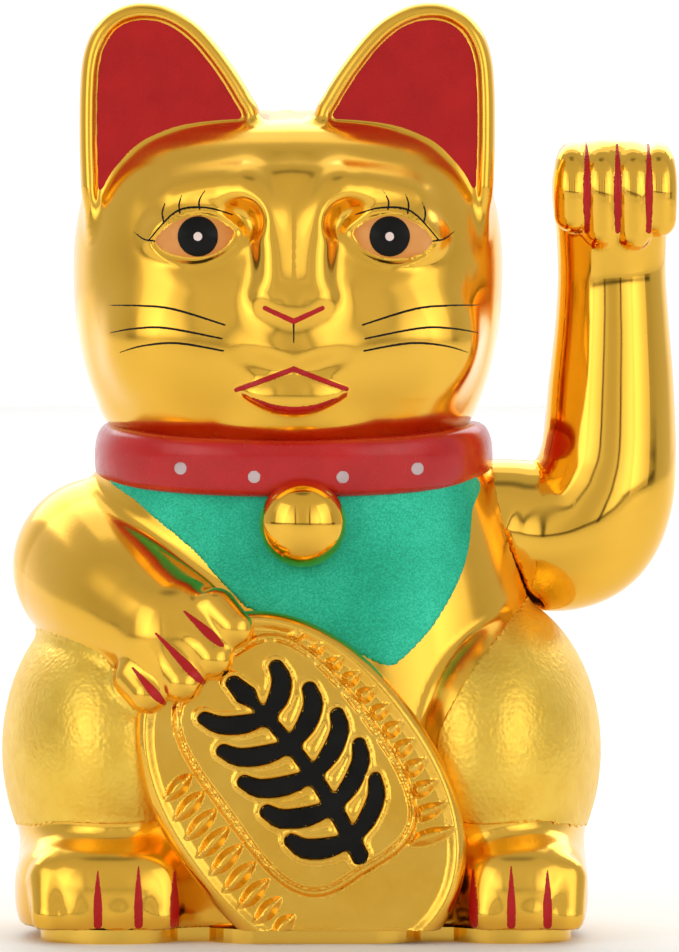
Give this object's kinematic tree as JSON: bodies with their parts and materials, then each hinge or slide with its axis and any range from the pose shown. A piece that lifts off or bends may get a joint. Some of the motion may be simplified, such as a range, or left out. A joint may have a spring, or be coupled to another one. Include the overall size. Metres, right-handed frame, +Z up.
{
  "type": "beckoning cat figurine",
  "caption": "Hollow gold-plated seated cat figurine with a swinging raised arm, driven by a battery-powered magnet pendulum inside its two-shell body.",
  "frame": {"origin": "on the underside of the base plate, midway between its sides, where it rests on the table", "axes": "+Z up, the cat faces -Y, its raised left arm is on +X"},
  "size_m": [0.1431, 0.1031, 0.1999],
  "materials": {
    "gold_plating": "mirror-bright vacuum metallised gold with painted red, green and black details",
    "gold_moulding": "gold plated, slightly duller",
    "zinc_steel": "zinc plated",
    "bright_steel": "ground",
    "dark_steel": "oiled",
    "white_plastic": "moulded",
    "ivory_plastic": "moulded",
    "nickel_magnet": "nickel plated",
    "copper_wire": "enamelled copper wire",
    "green_board": "solder masked board",
    "black_epoxy": "moulded epoxy",
    "capacitor_sleeve": "shrink sleeve",
    "resistor_body": "lacquered",
    "cell_jacket": "plain printed jacket",
    "nickel_strip": "nickel plated",
    "red_insulation": "wire insulation",
    "black_insulation": "wire insulation",
    "black_plastic": "moulded"
  },
  "bodies": {
    "figure": {"front_shell": "gold_plating", "rear_shell": "gold_plating", "base_plate": "gold_moulding", "base_screws": "zinc_steel", "bell": "gold_plating", "mechanism_frame": "ivory_plastic", "frame_screws": "zinc_steel", "coil_bobbin": "white_plastic", "coil_winding": "copper_wire", "coil_leads": "copper_wire", "circuit_board": "green_board", "board_screws": "zinc_steel", "transistor": "black_epoxy", "capacitor": "capacitor_sleeve", "resistors": "resistor_body", "battery_cell": "cell_jacket", "positive_contact": "nickel_strip", "negative_contact": "nickel_strip", "battery_spring": "nickel_strip", "positive_leads": "red_insulation", "negative_lead": "black_insulation", "switch_housing": "black_plastic", "switch_terminals": "nickel_strip"},
    "arm": {"arm_front_half": "gold_plating", "arm_rear_half": "gold_plating", "arm_axle": "bright_steel", "axle_collars": "dark_steel", "pendulum_lever": "white_plastic", "lever_screw": "zinc_steel", "pendulum_weight": "dark_steel", "drive_magnet": "nickel_magnet"},
    "battery_door": {"battery_door": "gold_moulding"},
    "switch_slider": {"switch_slider": "black_plastic"}
  },
  "joints": [
    {"name": "arm_swing", "type": "hinge", "parent": "figure", "child": "arm", "pos_m": [0, 0.002, 0.0863], "axis": [1, 0, 0], "range_deg": [-25, 25]},
    {"name": "battery_door_hinge", "type": "hinge", "parent": "figure", "child": "battery_door", "pos_m": [-0.0304, 0.0255, 0.0012], "axis": [0, 1, 0], "range_deg": [0, 80]},
    {"name": "switch_slide", "type": "slide", "parent": "figure", "child": "switch_slider", "axis": [1, 0, 0], "range_m": [0, 0.003]}
  ]
}
